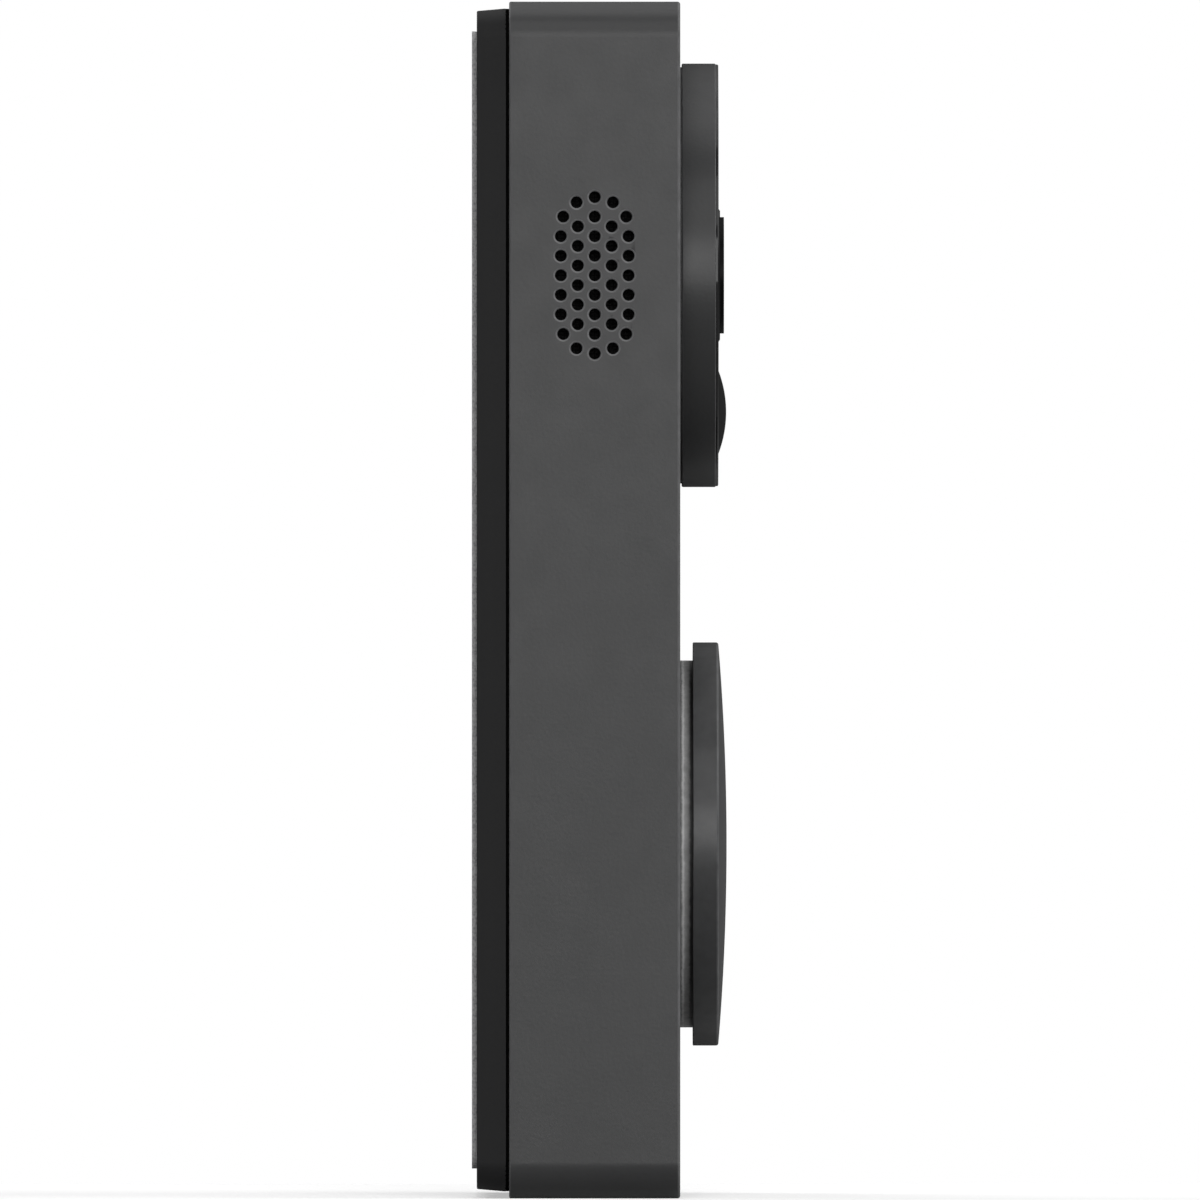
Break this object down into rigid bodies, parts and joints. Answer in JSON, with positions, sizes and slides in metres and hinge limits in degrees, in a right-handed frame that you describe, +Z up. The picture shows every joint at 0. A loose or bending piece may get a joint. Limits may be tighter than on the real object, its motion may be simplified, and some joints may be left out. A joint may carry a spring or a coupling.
{
  "type": "video doorbell",
  "caption": "Battery video doorbell on a wall plate: a slim upright box with a round camera disc above a round sprung bell button.",
  "frame": {"origin": "middle of the back face, on the wall", "axes": "+Z up, +Y into the wall, so the front faces -Y; +X to the right when facing the doorbell"},
  "size_m": [0.065, 0.0288, 0.135],
  "materials": {
    "shell_plastic": "fine matt moulded, charcoal grey",
    "cap_plastic": "fine matt moulded, charcoal grey",
    "black_plastic": "fine matt moulded, black",
    "tray_plastic": "matt moulded, dark grey",
    "window_black": "polished, black",
    "cover_glass": "coated, polished",
    "light_guide": "frosted translucent",
    "foam_tape": "grey foam with cut edges",
    "seal_rubber": "matt silicone",
    "steel": "plated",
    "blackened_steel": "black oxide",
    "speaker_screen": "fine black acoustic mesh",
    "circuit_board": "solder mask, green",
    "chip_resin": "moulded resin, black",
    "capacitor_sleeve": "shrink sleeve, dark blue",
    "copper_film": "copper on polyimide film",
    "battery_wrap": "printed wrap, plain slate",
    "lamp_resin": "clear to pale yellow resin",
    "white_plastic": "matt moulded, white",
    "speaker_paper": "pressed film cone, dark"
  },
  "bodies": {
    "wall_bracket": {"adhesive_pad": "foam_tape", "wall_plate": "black_plastic"},
    "unit": {"front_shell": "shell_plastic", "security_screw": "blackened_steel", "battery_tray": "tray_plastic", "tray_gasket": "seal_rubber", "tray_screws": "steel", "batteries": "battery_wrap", "battery_springs": "steel", "battery_contacts": "steel", "main_board": "circuit_board", "board_screws": "steel", "shield_can": "steel", "board_chips": "chip_resin", "power_capacitor": "capacitor_sleeve", "antenna": "copper_film", "terminal_block": "black_plastic", "terminal_screws": "steel", "camera_seal": "seal_rubber", "camera_bezel": "shell_plastic", "bezel_screws": "steel", "camera_window": "window_black", "lens_trim": "window_black", "lens_glass": "cover_glass", "lens_barrel": "black_plastic", "front_lens": "cover_glass", "lens_holder": "black_plastic", "image_sensor": "chip_resin", "camera_board": "circuit_board", "camera_connector": "white_plastic", "optics_board": "circuit_board", "optics_flex": "copper_film", "infrared_leds": "lamp_resin", "light_sensor": "lamp_resin", "motion_dome": "window_black", "motion_sensor": "steel", "button_spring": "steel", "button_seal": "seal_rubber", "switch_body": "black_plastic", "ring_leds": "lamp_resin", "microphone": "steel", "microphone_gasket": "seal_rubber", "speaker_mesh": "speaker_screen", "speaker_gasket": "seal_rubber", "speaker_frame": "black_plastic", "speaker_cone": "speaker_paper", "speaker_magnet": "steel", "reset_switch": "black_plastic", "tamper_switch": "black_plastic"},
    "button": {"button_cap": "cap_plastic", "light_ring": "light_guide", "button_carrier": "white_plastic"},
    "switch_key": {"switch_plunger": "white_plastic"},
    "reset_key": {"reset_button": "white_plastic"},
    "tamper_key": {"tamper_plunger": "white_plastic"}
  },
  "joints": [
    {"name": "unit_lift", "type": "slide", "parent": "wall_bracket", "child": "unit", "axis": [0, 0, 1], "range_m": [0, 0.004]},
    {"name": "button_press", "type": "slide", "parent": "unit", "child": "button", "axis": [0, 1, 0], "range_m": [0, 0.0006], "stiffness_N_per_m": 1500, "springref_m": -0.0006, "deforming": ["button_spring"]},
    {"name": "switch_press", "type": "slide", "parent": "unit", "child": "switch_key", "axis": [0, 1, 0], "range_m": [0, 0.0006]},
    {"name": "reset_press", "type": "slide", "parent": "unit", "child": "reset_key", "axis": [0, -1, 0], "range_m": [0, 0.0004], "stiffness_N_per_m": 800, "springref_m": -0.0005},
    {"name": "tamper_press", "type": "slide", "parent": "unit", "child": "tamper_key", "axis": [0, -1, 0], "range_m": [0, 0.0004], "stiffness_N_per_m": 400, "springref_m": -0.001}
  ],
  "couplings": [
    {"joint": "switch_press", "follows": "button_press", "ratio": 1}
  ]
}
